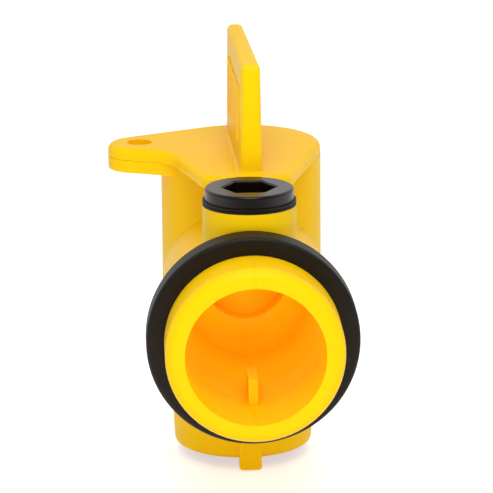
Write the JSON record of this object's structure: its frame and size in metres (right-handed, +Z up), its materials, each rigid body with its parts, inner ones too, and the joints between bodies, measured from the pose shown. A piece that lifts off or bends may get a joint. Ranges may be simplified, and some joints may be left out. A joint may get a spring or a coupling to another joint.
{
  "type": "drum tap",
  "caption": "Plastic drum tap with a round inlet spigot and gasket, a down-turned outlet, a quarter turn lever with an upright fin and padlock ears, and a screw-in vent plug.",
  "frame": {"origin": "inlet axis at the drum sealing face of the gasket", "axes": "-Y along the inlet spigot into the drum, +Z up along the lever's axis, outlet towards -Z, padlock ear on -X"},
  "size_m": [0.083, 0.1442, 0.1525],
  "materials": {
    "yellow_moulding": "satin",
    "yellow_rotor": "satin",
    "black_rubber": "matte",
    "black_plastic": "satin",
    "slide_plastic": "matte",
    "screw_steel": "brushed"
  },
  "bodies": {
    "tap": {"tap_body": "yellow_moulding", "inlet_gasket": "black_rubber", "port_seal": "black_rubber", "thrust_washer": "slide_plastic"},
    "rotor": {"lever_handle": "yellow_moulding", "rotor_barrel": "yellow_rotor", "rotor_screw": "screw_steel", "upper_rotor_oring": "black_rubber", "lower_rotor_oring": "black_rubber", "rotor_snap_ring": "slide_plastic"},
    "vent_seal": {"vent_washer": "black_rubber"},
    "vent_screw": {"vent_plug": "black_plastic"}
  },
  "joints": [
    {"name": "rotor_turn", "type": "hinge", "parent": "tap", "child": "rotor", "pos_m": [0, 0.09725, 0], "axis": [0, 0, -1], "range_deg": [0, 90]},
    {"name": "vent_lift", "type": "slide", "parent": "tap", "child": "vent_seal", "axis": [0, 0, 1], "range_m": [0, 0.0091]},
    {"name": "vent_turn", "type": "hinge", "parent": "vent_seal", "child": "vent_screw", "pos_m": [0, 0.02575, 0.03], "axis": [0, 0, 1], "range_deg": [0, 1800]}
  ],
  "couplings": [
    {"joint": "vent_lift", "follows": "vent_turn", "m_per_rad": 0.00028871}
  ]
}
